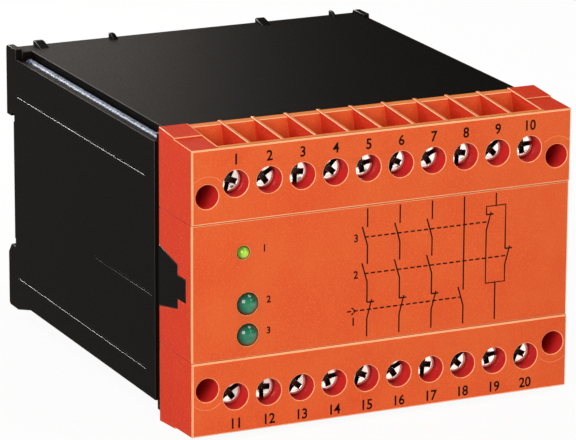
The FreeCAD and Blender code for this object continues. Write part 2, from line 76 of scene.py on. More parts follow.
# %% [markdown]
# ## Small helpers
#
# Colours are easiest to choose as hex values, the way a paint program shows them, but Blender's
# shaders calculate in linear light. One function turns the first into the second. Another adds a
# shader node with its settings and links in a single line, so that a material reads like a recipe.
# The rest select things and look sizes up in the construction.

# %% Colour and node helpers
def linear(hex_colour):
    """Linear RGBA from an sRGB hex colour such as E56131."""
    channels = [int(hex_colour[i:i + 2], 16) / 255 for i in (0, 2, 4)]
    light = [c / 12.92 if c <= 0.04045 else ((c + 0.055) / 1.055) ** 2.4 for c in channels]
    return (*light, 1.0)


def add(tree, kind, links=None, **settings):
    """Adds a shader node; settings name its sockets or properties, links feed its sockets."""
    node = tree.nodes.new(kind)
    for name, value in settings.items():
        socket = node.inputs.get(name.replace("_", " "))
        if socket is not None:
            socket.default_value = value
        else:
            setattr(node, name, value)
    for name, source in (links or {}).items():
        tree.links.new(source, node.inputs[name])
    return node


def material(name):
    """A new empty node material with its output node."""
    made = bpy.data.materials.new(name)
    made.use_nodes = True
    made.node_tree.nodes.clear()
    return made, made.node_tree, made.node_tree.nodes.new("ShaderNodeOutputMaterial")


# %% Selection and size helpers
def deselect():
    """Nothing selected, object mode."""
    if bpy.context.mode != "OBJECT":
        bpy.ops.object.mode_set(mode="OBJECT")
    bpy.ops.object.select_all(action="DESELECT")


def pick(*pieces):
    """Only these objects selected, the first one active."""
    deselect()
    for piece in pieces:
        piece.select_set(True)
    bpy.context.view_layer.objects.active = pieces[0]


def node_box(node):
    """Lowest and highest corner of a construction part, in metres."""
    spots = [vertex.co for vertex in frame["nodes"][node].data.vertices]
    return (Vector([min(spot[axis] for spot in spots) for axis in range(3)]),
            Vector([max(spot[axis] for spot in spots) for axis in range(3)]))


def node_middle(node):
    """Middle of a construction part's box, in metres."""
    low, high = node_box(node)
    return (low + high) / 2


body_of_node = {}
for body, members in frame["record"]["behaviour"]["bodies"].items():
    for member in members:
        body_of_node[member] = body
slot_of_node = {part["node"]: part["material_slot"] for part in frame["record"]["subparts"]}
BLOCK_FACE = node_box("upper_terminal_block")[0].y
PANEL_FACE = max(vertex.co.y for vertex in frame["nodes"]["front_panel"].data.vertices
                 if vertex.co.y < node_box("front_panel")[0].y + 0.01 * MM)
print("nodes:", len(body_of_node), "block face at y =", round(BLOCK_FACE / MM, 2), "mm")

# %% [markdown]
# ## The camera
#
# The module is seen a little from the left and from above with a long lens, as in a catalogue, so its
# edges stay nearly parallel. The camera is placed by two angles and a distance from a point inside
# the module, which is easier to think about than raw coordinates.

# %% Camera
VIEW_TARGET = Vector((-6.66, -73.5, 3.26)) * MM
VIEW_TURN = math.radians(-24.998)
VIEW_HEIGHT = math.radians(15.809)
VIEW_ROLL = math.radians(0.25)
VIEW_DISTANCE = 1065.4 * MM

towards_camera = Vector((
    math.sin(VIEW_TURN) * math.cos(VIEW_HEIGHT),
    -math.cos(VIEW_TURN) * math.cos(VIEW_HEIGHT),
    math.sin(VIEW_HEIGHT),
))
camera_data = bpy.data.cameras.new("camera")
camera_data.lens = 270.9
camera_data.sensor_width = 36
camera_data.clip_start = 0.05
camera = bpy.data.objects.new("camera", camera_data)
scene.collection.objects.link(camera)
camera.location = VIEW_TARGET + towards_camera * VIEW_DISTANCE
look = towards_camera.to_track_quat("Z", "Y") @ Matrix.Rotation(VIEW_ROLL, 3, "Z").to_quaternion()
camera.rotation_mode = "QUATERNION"
camera.rotation_quaternion = look
scene.camera = camera
print("camera at", [round(v, 3) for v in camera.location])

# %% [markdown]
# ## Floor and surroundings
#
# A module for a catalogue stands on a pale surface in soft light. The white of the background isn't
# made with more light, which would wash out the object: floor and world show white to the camera
# through the Light Path node. Mirrors see something else. For them the room is bright on the left and
# black on the right, which gives black plastic its strong lights and darks. The floor turns into a
# bright card at the right, again for mirrors only, so that the nickel heads don't only mirror red.

# %% Floor and world
FLOOR_DROP = 0.2 * MM
FLOOR_SIZE = 6.0            # in metres
FLOOR_WHITE = 0.94          # share of plain white that the camera sees; the rest keeps the shadow
CARD_EDGE = (-0.06, 0.03)   # x in metres where the floor's card starts and where it is full
CARD_LEVEL = (0.45, 1.35)   # what mirrors see of the floor before and on the card
ROOM_EDGE = (-0.8, 0.0)     # x of the directions between the bright and the black side of the room
ROOM_LEVEL = (0.6, 0.02)    # what mirrors see of either side
SOFT_LIGHT = 0.20           # light from all round on the object


def span(tree, value, low, high, to_low=0.0, to_high=1.0):
    """Stretches the range low to high of a socket to another range."""
    return add(tree, "ShaderNodeMapRange", {"Value": value}, From_Min=low, From_Max=high,
               To_Min=to_low, To_Max=to_high).outputs["Result"]


def white_rays(tree):
    """Highest of the three Light Path answers: camera, glossy and transmission ray."""
    path = add(tree, "ShaderNodeLightPath")
    seen = add(tree, "ShaderNodeMath", {0: path.outputs["Is Camera Ray"], 1: path.outputs["Is Glossy Ray"]},
               operation="MAXIMUM")
    return add(tree, "ShaderNodeMath", {0: seen.outputs[0], 1: path.outputs["Is Transmission Ray"]},
               operation="MAXIMUM")


def build_floor():
    """A large pale plane just under the module."""
    deselect()
    bpy.ops.mesh.primitive_plane_add(size=FLOOR_SIZE, location=(0, 0, cad_low.z - FLOOR_DROP))
    floor = bpy.context.object
    floor.name = "floor"
    paint, tree, out = material("pale studio paper")
    paper = add(tree, "ShaderNodeBsdfDiffuse", Color=linear("F2F1EF"))
    spot = add(tree, "ShaderNodeSeparateXYZ", {"Vector": add(tree, "ShaderNodeTexCoord").outputs["Object"]})
    card = span(tree, spot.outputs["X"], *CARD_EDGE, *CARD_LEVEL)
    mirrored = add(tree, "ShaderNodeLightPath").outputs["Is Glossy Ray"]
    level = add(tree, "ShaderNodeMix", {"Factor": mirrored, "B": card}, data_type="FLOAT")
    level.inputs["A"].default_value = 1.0
    white = add(tree, "ShaderNodeEmission", {"Strength": level.outputs["Result"]}, Color=(1, 1, 1, 1))
    share = add(tree, "ShaderNodeMath", {0: white_rays(tree).outputs[0]}, operation="MULTIPLY")
    share.inputs[1].default_value = FLOOR_WHITE
    mix = add(tree, "ShaderNodeMixShader", {
        0: share.outputs[0], 1: paper.outputs["BSDF"], 2: white.outputs["Emission"]})
    tree.links.new(mix.outputs[0], out.inputs["Surface"])
    floor.data.materials.append(paint)


def build_world():
    """Soft light from all round; white for the camera, white to dark for mirrors."""
    world = bpy.data.worlds.new("studio")
    scene.world = world
    world.use_nodes = True
    tree = world.node_tree
    tree.nodes.clear()
    path = add(tree, "ShaderNodeLightPath")
    clear = add(tree, "ShaderNodeMath", {
        0: path.outputs["Is Camera Ray"], 1: path.outputs["Is Transmission Ray"]}, operation="MAXIMUM")
    way = add(tree, "ShaderNodeSeparateXYZ", {"Vector": add(tree, "ShaderNodeTexCoord").outputs["Generated"]})
    room = span(tree, way.outputs["X"], *ROOM_EDGE, *ROOM_LEVEL)
    soft = add(tree, "ShaderNodeBackground", Color=(1, 1, 1, 1), Strength=SOFT_LIGHT)
    mirrored = add(tree, "ShaderNodeBackground", {"Strength": room}, Color=(1, 1, 1, 1))
    white = add(tree, "ShaderNodeBackground", Color=(1, 1, 1, 1), Strength=1.0)
    glossy = add(tree, "ShaderNodeMixShader", {
        0: path.outputs["Is Glossy Ray"], 1: soft.outputs[0], 2: mirrored.outputs[0]})
    mix = add(tree, "ShaderNodeMixShader", {0: clear.outputs[0], 1: glossy.outputs[0], 2: white.outputs[0]})
    out = add(tree, "ShaderNodeOutputWorld")
    tree.links.new(mix.outputs[0], out.inputs["Surface"])


build_floor()
build_world()

# %% [markdown]
# ## Lamps
#
# Two large soft lamps light the front and the top. Two small ones stand low behind the module. They
# hardly light the faces, but every rounded edge that looks up and to the left mirrors one of them to
# the camera, which draws the thin bright lines that make moulded parts look crisp. In front stand a
# wide faint lamp at the module's own height and a small one that puts a spark on the signal lamps.

# %% Lamps
def area_lamp(name, turn, height, distance, size, power, colour=(1, 1, 1)):
    """A square soft lamp that shines at the module from two angles and a distance in metres."""
    data = bpy.data.lights.new(name, "AREA")
    data.shape = "SQUARE"
    data.size = size
    data.energy = power
    data.color = colour
    lamp_object = bpy.data.objects.new(name, data)
    scene.collection.objects.link(lamp_object)
    turn = math.radians(turn)
    height = math.radians(height)
    way = Vector((
        math.sin(turn) * math.cos(height), -math.cos(turn) * math.cos(height), math.sin(height)))
    lamp_object.location = VIEW_TARGET + way * distance
    lamp_object.rotation_mode = "QUATERNION"
    lamp_object.rotation_quaternion = way.to_track_quat("Z", "Y")
    lamp_object.visible_camera = False


# Turn and height in degrees, distance and size in metres, power in watts.
area_lamp("key_left", -45, 22, 1.0, 0.5, 6.4)
area_lamp("top_right", 56, 61, 0.9, 0.35, 2.2)
area_lamp("edge_rear_left", -163, 24, 0.8, 0.14, 2.6)
area_lamp("sheen_rear", 172, 20, 0.42, 0.16, 0.25, (1, 0.92, 0.86))
area_lamp("card_front", 30, 2, 0.9, 0.42, 0.5)
area_lamp("spark_front", 33, 30, 0.9, 0.07, 0.4)

# %% [markdown]
# ## Moulded plastic
#
# Housing and front are injection-moulded polyamide. Faces that look forward are painted paler, as lit,
# and the walls deeper and redder, as painted shade; the material tells the two apart by the direction
# in which a face looks on the part itself. The holes are painted a darker red as shade, and the slopes
# behind the wire entries are painted yellow with a faint glow, as painted light. Fine specks of
# about a third of a millimetre stand for the grain, which is really finer than the eye can see.

# %% Moulded polyamide
GRAIN = 0.30                # size of the drawn grain in mm
FLOW = 14.0                 # length of the colour streaks in mm


def fine_grain(tree, place, size, detail=2.0):
    """Noise whose lumps are about this many millimetres wide."""
    return add(tree, "ShaderNodeTexNoise", {"Vector": place}, Scale=1 / (size * MM), Detail=detail)


def blend(tree, share, first, second, mode="MIX"):
    """Colour mix of two sockets or colours by a share socket."""
    mix = add(tree, "ShaderNodeMix", data_type="RGBA", blend_type=mode)
    tree.links.new(share, mix.inputs[0])
    for slot, value in ((6, first), (7, second)):
        if isinstance(value, tuple):
            mix.inputs[slot].default_value = value
        else:
            tree.links.new(value, mix.inputs[slot])
    return mix.outputs[2]


def moulded(name, lit_face_hex, shaded_wall_hex, speck_hex, roughness, gloss=0.3, bump=0.12, glow=0.0):
    """Moulded polyamide: specks, pits and soft flow streaks; faces looking forward are painted paler as
    lit, walls deeper as painted shade.

    A glow above 0 is painted light on faces that look forward."""
    made, tree, out = material(name)
    coordinates = add(tree, "ShaderNodeTexCoord")
    place = coordinates.outputs["Object"]
    looks = add(tree, "ShaderNodeSeparateXYZ", {"Vector": coordinates.outputs["Normal"]})
    lit_share = add(tree, "ShaderNodeMath", {0: looks.outputs["Y"], 1: looks.outputs["Y"]},
                  operation="MULTIPLY")
    grain = fine_grain(tree, place, GRAIN)
    streaks = fine_grain(tree, place, FLOW, 3.0)
    # Painted light and shade: faces looking forward take the lit colour, the walls the shaded one.
    base = blend(tree, lit_share.outputs[0], linear(shaded_wall_hex), linear(lit_face_hex))
    flowing = blend(tree, span(tree, streaks.outputs["Fac"], 0.35, 0.75, 0.0, 0.35), base, linear(shaded_wall_hex))
    specked = blend(tree, span(tree, grain.outputs["Fac"], 0.50, 0.85), flowing, linear(speck_hex))
    rough = span(tree, grain.outputs["Fac"], 0.3, 0.7, roughness - 0.08, roughness + 0.08)
    pits = add(tree, "ShaderNodeBump", {"Height": grain.outputs["Fac"]}, Strength=bump, Distance=0.06 * MM)
    shader = add(tree, "ShaderNodeBsdfPrincipled", {
        "Base Color": specked, "Roughness": rough, "Normal": pits.outputs["Normal"]},
        IOR=1.53, Specular_IOR_Level=gloss, Emission_Color=linear("FFB070"))
    # Painted light: a faint glow on faces that look forward.
    if glow:
        through = span(tree, lit_share.outputs[0], 0.0, 0.5, 0.0, glow)
        tree.links.new(through, shader.inputs["Emission Strength"])
    tree.links.new(shader.outputs["BSDF"], out.inputs["Surface"])
    return made


# In each moulded material the second colour is painted on faces looking forward as light, the third on walls as
# shade.
orange_polyamide = moulded("orange moulded polyamide", "E36130", "D8331C", "EA7740", 0.58, gloss=0.07)
# Painted highlight: a paler, glossier orange for the rounded edges.
orange_edge_highlight = moulded("orange polyamide, painted edge highlight", "FFB07A", "FFA870", "FFB880", 0.30,
                      gloss=0.5, bump=0.0)
# Painted shade: deep red for the inside of the round holes.
orange_hole_shade = moulded("orange polyamide, painted hole shade", "D02A28", "D02A28", "D8342C", 0.35,
                      gloss=0.2, bump=0.0)
# Painted light: yellow colour and a glow for the slopes behind the wire entries.
orange_slope_light = moulded("orange polyamide, slope with painted light", "EC8844", "EC8844", "F2964E", 0.50,
                       gloss=0.1, glow=0.22)
# Painted highlight: a paler orange for the raised arcs beside the lever holes.
orange_mark_highlight = moulded("orange polyamide, raised mark with painted highlight", "EE8852", "EE8852", "F29660", 0.45,
                      gloss=0.2, bump=0.0)
black_polyamide = moulded("black moulded polyamide", "130F0C", "0F0C09", "181412", 0.52,
                          gloss=0.03, bump=0.03)
# Painted highlight: a paler black for the rounded edges.
black_edge_highlight = moulded("black polyamide, painted edge highlight", "211E1B", "211E1B", "211E1B", 0.34,
                     gloss=0.38, bump=0.0)
latch_polyamide = moulded("black latch polyamide", "171717", "141414", "222222", 0.5, gloss=0.2)

# %% [markdown]
# ## Metals
#
# The screws are nickel-plated steel: a warm mirror under a thin matt bloom, which keeps the heads
# pale even where they mirror the red wall of their hole. The cages are zinc-plated pressed steel,
# greyer and rougher. Bars and pins are tin-plated brass.

# %% Plated metals
def plated(name, body_hex, roughness, spread, patch, metal=1.0):
    """Plated metal whose roughness varies in small patches of this many millimetres."""
    made, tree, out = material(name)
    patches = fine_grain(tree, add(tree, "ShaderNodeTexCoord").outputs["Object"], patch)
    rough = span(tree, patches.outputs["Fac"], 0.3, 0.7, roughness - spread, roughness + spread)
    shader = add(tree, "ShaderNodeBsdfPrincipled", {"Roughness": rough},
                 Base_Color=linear(body_hex), Metallic=metal)
    tree.links.new(shader.outputs["BSDF"], out.inputs["Surface"])
    return made


nickel = plated("nickel-plated steel", "FBF5EA", 0.13, 0.05, 0.8, metal=0.85)
# Painted shade: the drive recess of each screw head gets this dark nickel.
recess_shade_nickel = plated("nickel-plated steel, recess with painted shade", "3A3430", 0.30, 0.08, 0.5)
zinc = plated("zinc-plated steel", "B4B6B4", 0.35, 0.08, 2.0)
tinned_brass = plated("tin-plated brass", "CFC6AE", 0.28, 0.06, 2.0)
spring_steel = plated("spring steel", "A8A8AC", 0.25, 0.05, 1.0)

# %% [markdown]
# ## Boards, relays and transformer
#
# These sit inside the closed housing. They still get their own finishes, so that the inside looks
# right when a block is pulled off: green glass-fibre board, pale relay cases, a varnished core.

# %% Inner parts
# Here too faces looking forward are painted lighter as lit, and walls darker as shade.
board_laminate = moulded("green glass-fibre laminate", "1E5A33", "17482A", "2C6E42", 0.35, gloss=0.5)
relay_case = moulded("pale relay case", "C9C4B6", "BDB8AA", "D6D1C4", 0.4, gloss=0.5)
core_varnish = moulded("varnished core steel", "3B3B3E", "2C2C2F", "4A4A4E", 0.45, gloss=0.5, bump=0.3)

# %% [markdown]
# ## Signal lamps
#
# A signal lamp is a dome of tinted clear plastic. What the eye reads as a lamp is a bright crown, a
# darker rim and sharp sparks. The crown is painted light and the rim painted shade, told apart by the
# direction of the dome's surface, since it looks forward at the crown. The lit one adds some light of
# its own.

# %% Lamp plastics
def lamp_plastic(name, shaded_rim_hex, lit_crown_hex, glow):
    """Tinted clear plastic of a signal lamp, painted light on the crown and painted shade on the rim."""
    made, tree, out = material(name)
    coordinates = add(tree, "ShaderNodeTexCoord")
    looks = add(tree, "ShaderNodeSeparateXYZ", {"Vector": coordinates.outputs["Normal"]})
    # Painted light on the crown, painted shade on the rim.
    crown = span(tree, looks.outputs["Y"], -0.55, -0.95)
    cloud = fine_grain(tree, coordinates.outputs["Object"], 1.6, 1.0)
    tint = blend(tree, crown, linear(shaded_rim_hex), linear(lit_crown_hex))
    shade = blend(tree, span(tree, cloud.outputs["Fac"], 0.4, 0.7, 0.0, 0.3), tint, linear(shaded_rim_hex))
    shader = add(tree, "ShaderNodeBsdfPrincipled", {"Base Color": shade, "Emission Color": shade},
                 Roughness=0.07, IOR=1.54, Emission_Strength=glow)
    tree.links.new(shader.outputs["BSDF"], out.inputs["Surface"])
    return made


lit_plastic = lamp_plastic("lit yellow-green lamp plastic", "4E7A14", "A6D238", 0.25)
dark_plastic = lamp_plastic("dark green lamp plastic", "0C3A28", "2C8460", 0.0)

# %% [markdown]
# ## Finishes on the construction's parts
#
# Each part of the construction gets its finish by its slot. The parts that show are also given soft
# edges. A construction part is never changed itself. Instead its mesh is copied, loose triangles are
# merged back into whole faces, and a Bevel modifier rounds the sharp edges. The rounded edges get a
# paler, glossier material, a painted highlight. The copy then stands for the part, and rides on the
# same body. The fillets that the construction already has along the front are found by their
# slanting faces and get the same painted highlight as the new edges.

# %% Finishes by slot
FINISHES = {
    "housing_black": black_polyamide, "signal_orange": orange_polyamide, "lamp_lit": lit_plastic,
    "lamp_dark": dark_plastic, "tinned_brass": tinned_brass, "board_laminate": board_laminate,
    "clear_foil": relay_case,   # only until the creased foil further down stands for this part
    "relay_case": relay_case, "core_steel": core_varnish,
    "spring_steel": spring_steel, "latch_black": latch_polyamide, "nickel_screw": nickel,
    "zinc_steel": zinc,
}
for node, part in frame["nodes"].items():
    part.data.materials.clear()
    part.data.materials.append(FINISHES[slot_of_node[node]])


# %% Soft edges
FLAT_FACE = 8.0             # faces above this area in square mm are kept flat
SEAM_HEIGHT = 22.0          # the seams between panel and blocks lie below this height, in mm
LEVER_X, LEVER_Z = 46.1, 23.65      # place of the upper lever holes, in mm
HOLE_REACH = 3.4            # a little more than the largest hole radius, in mm
ENTRIES_HALF = 43.0         # the wire entries reach this far to either side, in mm
FILLET_REACH = 0.6          # the front fillets end this far behind the face, in mm
SIDE_REACH = 0.3            # faces this near the outer sides belong to the side walls, in mm
FACE_REACH = 0.25           # faces this near the block's front aren't inside a hole, in mm
SLOPE_START = 2.5           # the slopes of the wire entries lie further back than this, in mm
SMOOTH_ANGLE = math.radians(50)


def stand_for(piece, node):
    """The piece takes the place of a construction part, on its body."""
    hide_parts(node)
    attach(piece, body_of_node[node])


def whole_copy(node, name):
    """Copy of a construction part with its triangles merged into whole faces."""
    copy = bpy.data.objects.new(name, frame["nodes"][node].data.copy())
    scene.collection.objects.link(copy)
    pick(copy)
    bpy.ops.object.mode_set(mode="EDIT")
    bpy.ops.mesh.select_all(action="SELECT")
    bpy.ops.mesh.remove_doubles(threshold=0.002 * MM)
    bpy.ops.mesh.dissolve_limited(angle_limit=math.radians(0.5))
    bpy.ops.object.mode_set(mode="OBJECT")
    return copy


def polish_front_fillets(piece, face_y):
    """Painted highlight on the slanting faces behind the front, and none along the seams' sides."""
    for polygon in piece.data.polygons:
        spot = polygon.center
        if spot.y < face_y + FILLET_REACH * MM:
            if 0.1 < -polygon.normal.y < 0.99:
                polygon.material_index = 1
        elif abs(spot.x) > cad_high.x - SIDE_REACH * MM and abs(spot.z) < SEAM_HEIGHT * MM:
            polygon.material_index = 0


def round_holes():
    """Screw and lever holes of the upper block as x, height and reach in mm."""
    screws = [node_middle("upper_screw_%02d" % number) / MM for number in range(1, 11)]
    holes = [(middle.x, middle.z, HOLE_REACH) for middle in screws]
    return holes + [(end * LEVER_X, LEVER_Z, HOLE_REACH) for end in (-1, 1)]


def split_shelf(piece, turned):
    """Cuts the flat faces along the wire entries where the solid ends begin."""
    for end in (-1, 1):
        pick(piece)
        bpy.ops.object.mode_set(mode="EDIT")
        bpy.ops.mesh.select_mode(type="FACE")
        bpy.ops.mesh.select_all(action="DESELECT")
        bpy.ops.object.mode_set(mode="OBJECT")
        for polygon in piece.data.polygons:
            polygon.select = polygon.normal.z * turned > 0.98
        bpy.ops.object.mode_set(mode="EDIT")
        bpy.ops.mesh.bisect(plane_co=(end * ENTRIES_HALF * MM, 0, 0), plane_no=(1, 0, 0))
        bpy.ops.object.mode_set(mode="OBJECT")


def paint_block(piece, turned):
    """Painted shade in deep red inside the round holes, painted light in yellow on the slopes behind the wire
    entries.
    """
    split_shelf(piece, turned)
    piece.data.materials.append(orange_hole_shade)
    piece.data.materials.append(orange_slope_light)
    holes = [(x * MM, turned * z * MM, radius * MM) for x, z, radius in round_holes()]
    for polygon in piece.data.polygons:
        spot, normal = polygon.center, polygon.normal
        if spot.y < BLOCK_FACE + FACE_REACH * MM:
            continue
        # Deep red inside the holes is painted shade.
        if any(math.hypot(spot.x - x, spot.z - z) < radius for x, z, radius in holes):
            polygon.material_index = 2
        # Yellow on the slopes behind the wire entries is painted light.
        elif polygon.material_index == 0 and normal.z * turned > 0.3:
            inside = abs(spot.x) < ENTRIES_HALF * MM and spot.y > BLOCK_FACE + SLOPE_START * MM
            polygon.material_index = 3 if inside else 0


def weigh_outer_edges(piece, angle):
    """Gives full bevel weight to every outward edge sharper than an angle in degrees."""
    mesh = bmesh.new()
    mesh.from_mesh(piece.data)
    weights = [float(len(edge.link_faces) == 2 and edge.is_convex
                     and edge.calc_face_angle() > math.radians(angle)) for edge in mesh.edges]
    mesh.free()
    layer = piece.data.attributes.new("bevel_weight_edge", "FLOAT", "EDGE")
    layer.data.foreach_set("value", weights)


def round_edges(piece, width, segments=2, angle=30, clamp=True, finish=0):
    """Rounds the outward edges sharper than an angle; large flat faces stay truly flat."""
    weigh_outer_edges(piece, angle)
    pick(piece)
    bevel = piece.modifiers.new("soft_edges", "BEVEL")
    bevel.width = width * MM
    bevel.segments = segments
    bevel.limit_method = "WEIGHT"
    bevel.use_clamp_overlap = clamp
    bevel.material = finish
    bpy.ops.object.modifier_apply(modifier="soft_edges")
    bpy.ops.object.shade_smooth_by_angle(angle=SMOOTH_ANGLE)
    for polygon in piece.data.polygons:
        polygon.use_smooth = polygon.area < FLAT_FACE * MM * MM


def soft_edged(node, name, width, edge_highlight=None, front=None, **bevel_settings):
    """Copy of a construction part with rounded edges; it stands for the part."""
    copy = whole_copy(node, name)
    if edge_highlight:
        copy.data.materials.append(edge_highlight)
    round_edges(copy, width, finish=1 if edge_highlight else 0, **bevel_settings)
    if front is not None:
        polish_front_fillets(copy, front)
    stand_for(copy, node)
    return copy


for side, turned in (("upper", 1), ("lower", -1)):
    block = soft_edged(side + "_terminal_block", side + "_terminal_moulding", 0.16, orange_edge_highlight,
                       front=BLOCK_FACE, clamp=False)
    paint_block(block, turned)
    print(block.name, "faces:", len(block.data.polygons))
soft_edged("front_panel", "front_moulding", 0.14, orange_edge_highlight, front=PANEL_FACE, clamp=False)
soft_edged("housing_body", "housing_moulding", 0.15, black_edge_highlight, clamp=False)
soft_edged("left_side_cover", "side_cover_moulding", 0.12, black_edge_highlight, clamp=False)
soft_edged("rail_latch", "latch_moulding", 0.2)

# %% [markdown]
# ## Latch spring
#
# The zigzag spring stands between the floor of its pocket and the lug of the rail latch. When the
# latch is pulled, the spring gets shorter by the latch's travel. Here its copy only gets soft edges
# and a mesh of its own.

# %% Latch spring
spring = soft_edged("latch_spring", "zigzag_spring", 0.05)
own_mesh(spring)

# %% [markdown]
# ## Rear stop rib
#
# Four small stops stand along the rear edge of the top, where the module meets the rail. Three belong
# to the construction. The fourth isn't in it and is added here: a block with a ramp to the front.

# %% Stop rib
RIB_ROOT = 0.6              # how deep the rib stands in the top plate, in mm


def build_stop_rib(x, width, length, height):
    """Ramped stop on the rear edge of the top, sizes in mm."""
    low, high = node_box("housing_body")
    root = high.z - (height + RIB_ROOT) * MM
    deselect()
    bpy.ops.mesh.primitive_cube_add(
        size=1, location=(x * MM, high.y - length / 2 * MM, (root + high.z) / 2),
        scale=(width * MM, length * MM, high.z - root))
    rib = bpy.context.object
    rib.name = "rear_stop_rib"
    bpy.ops.object.transform_apply()
    for vertex in rib.data.vertices:
        if vertex.co.y < high.y - 1 * MM and vertex.co.z > high.z - 0.1 * MM:
            vertex.co.z -= height * MM
    rib.data.materials.append(black_polyamide)
    rib.data.materials.append(black_edge_highlight)
    round_edges(rib, 0.2, finish=1)
    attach(rib, body_of_node["housing_body"])
    print("stop rib at x =", x, "mm, faces:", len(rib.data.polygons))


build_stop_rib(x=21.2, width=2.7, length=5.5, height=1.1)

# %% [markdown]
# ## Screws
#
# Every terminal screw has a round head with a combined slot and cross, so that either driver fits.
# The head is very slightly dished. This matters for nickel: a flat or domed head down in its hole
# would mirror the red wall, while a dished one mirrors the bright room in front of the module. One
# screw is modelled from a circle by extruding and narrowing rings, and its recess is cut with Boolean
# modifiers. Then it is copied to every terminal and turned a little further each time, as screws
# stand in real life.

# %% Terminal screw
HEAD_DISH = 0.38            # how far the head's middle lies behind its rim, in mm
DISH_RINGS = 4
SCREW_SIDES = 48
DRIVE_DEPTH = 1.3
SLOT = (1.1, 8.0)           # size in x and z of the slot, in mm
CROSS = (4.2, 1.3)          # and of the arm across it
FIRST_TURN = {"upper": 20, "lower": 55}     # in degrees
NEXT_TURN = 37


def grow_ring(step_y, factor):
    """Extrudes the selected ring along the screw and scales it about the axis."""
    bpy.ops.mesh.extrude_region_move(TRANSFORM_OT_translate={"value": (0, step_y, 0)})
    bpy.ops.transform.resize(value=(factor, 1, factor), center_override=(0, 0, 0))


def drive_cutter(width, length, face_y):
    """Bar that cuts one arm of the recess."""
    deselect()
    bpy.ops.mesh.primitive_cube_add(size=1, location=(0, face_y, 0), scale=(
        width * MM, 2 * DRIVE_DEPTH * MM, length * MM))
    bar = bpy.context.object
    bpy.ops.object.transform_apply()
    bar.data.materials.append(nickel)
    bar.data.materials.append(recess_shade_nickel)
    # The faces that the bar cuts into the head take the dark recess nickel, painted shade.
    for polygon in bar.data.polygons:
        polygon.material_index = 1
    return bar


def pan_head_screw(face_y, under_y, tip_y, head_radius, shank_radius):
    """Screw on the y axis, head towards the front, with slot and cross."""
    deselect()
    bpy.ops.mesh.primitive_circle_add(
        vertices=SCREW_SIDES, radius=shank_radius, fill_type="NGON", location=(0, tip_y, 0),
        rotation=(math.radians(90), 0, 0))
    screw = bpy.context.object
    bpy.ops.object.transform_apply()
    screw.data.materials.append(nickel)
    screw.data.materials.append(recess_shade_nickel)
    bpy.ops.object.mode_set(mode="EDIT")
    bpy.ops.mesh.select_all(action="SELECT")
    grow_ring(under_y - tip_y, 1)
    grow_ring(0, head_radius / shank_radius)
    grow_ring(face_y - under_y, 1)
    reach = 1.0
    for ring in range(1, DISH_RINGS):
        share = 1 - ring / DISH_RINGS
        fall = HEAD_DISH * MM * (reach ** 2 - share ** 2)
        grow_ring(fall, share / reach)
        reach = share
    bpy.ops.mesh.select_all(action="SELECT")
    bpy.ops.mesh.remove_doubles(threshold=0.001 * MM)
    bpy.ops.mesh.normals_make_consistent(inside=False)
    bpy.ops.object.mode_set(mode="OBJECT")
    for width, length in (SLOT, CROSS):
        bar = drive_cutter(width, length, face_y)
        pick(screw)
        cut = screw.modifiers.new("drive", "BOOLEAN")
        cut.operation = "DIFFERENCE"
        cut.solver = "EXACT"
        cut.object = bar
        bpy.ops.object.modifier_apply(modifier="drive")
        bpy.data.objects.remove(bar)
    round_edges(screw, 0.08, angle=35, clamp=False)
    return screw


def turned_screws(pattern, row):
    """Copies of the screw on every terminal of a row, each turned further than its neighbour."""
    for number in range(1, 11):
        node = "%s_screw_%02d" % (row, number)
        middle = node_middle(node)
        copy = bpy.data.objects.new("%s_pan_head_screw_%02d" % (row, number), pattern.data.copy())
        scene.collection.objects.link(copy)
        copy.rotation_euler = (0, math.radians((FIRST_TURN[row] + NEXT_TURN * (number - 1)) % 90), 0)
        copy.location = (middle.x, 0, middle.z)
        pick(copy)
        bpy.ops.object.transform_apply()
        stand_for(copy, node)


def build_screws():
    """Measures a screw of the construction, models one like it and copies it to every terminal."""
    low, high = node_box("upper_screw_01")
    spots = [vertex.co for vertex in frame["nodes"]["upper_screw_01"].data.vertices]
    shank = [spot for spot in spots if spot.y > high.y - 0.01 * MM]
    shank_radius = max(spot.x for spot in shank) - node_middle("upper_screw_01").x
    rim = [spot.y for spot in spots if spot.x > high.x - 0.1 * MM]
    pattern = pan_head_screw(low.y, max(rim), high.y, (high.x - low.x) / 2, shank_radius)
    for row in FIRST_TURN:
        turned_screws(pattern, row)
    print("screw:", len(pattern.data.polygons), "faces, shank radius", round(shank_radius / MM, 2), "mm")
    bpy.data.objects.remove(pattern)


build_screws()

# %% [markdown]
# ## Lamp domes
#
# The three domes only need a narrow soft edge, so that their rims catch a thin line of light.

# %% Signal lamps
LAMPS = ("supply_lamp", "channel_lamp_1", "channel_lamp_2")
for node in LAMPS:
    soft_edged(node, node + "_dome", 0.05, angle=40)

# %% [markdown]
# ## Creased foil
#
# A thin foil is folded over the edge of the board and shows in the slot between the top and the side
# cover. On the real one it is creased by hand when the housing is closed. A plain strip is spun over
# the edge, thickened, and pushed in and out by a cloud pattern, which gives creases of the right size.

# %% Foil finish
def creased_foil():
    """Thin insulating foil: blue-grey, painted bright on the crease ridges and dark between them as highlight
    and shade.
    """
    made, tree, out = material("pale insulating foil")
    place = add(tree, "ShaderNodeTexCoord").outputs["Object"]
    creases = fine_grain(tree, place, 0.9, 4.0)
    # Painted highlight and shade: the noise that bumps the creases also makes their ridges pale and their
    # hollows dark.
    tint = blend(tree, span(tree, creases.outputs["Fac"], 0.40, 0.62), linear("2E384C"), linear("8C9AB4"))
    bump = add(tree, "ShaderNodeBump", {"Height": creases.outputs["Fac"]}, Strength=0.4, Distance=0.12 * MM)
    shader = add(tree, "ShaderNodeBsdfPrincipled", {"Base Color": tint, "Normal": bump.outputs["Normal"]},
                 Roughness=0.38, IOR=1.5, Specular_IOR_Level=0.25)
    tree.links.new(shader.outputs["BSDF"], out.inputs["Surface"])
    return made


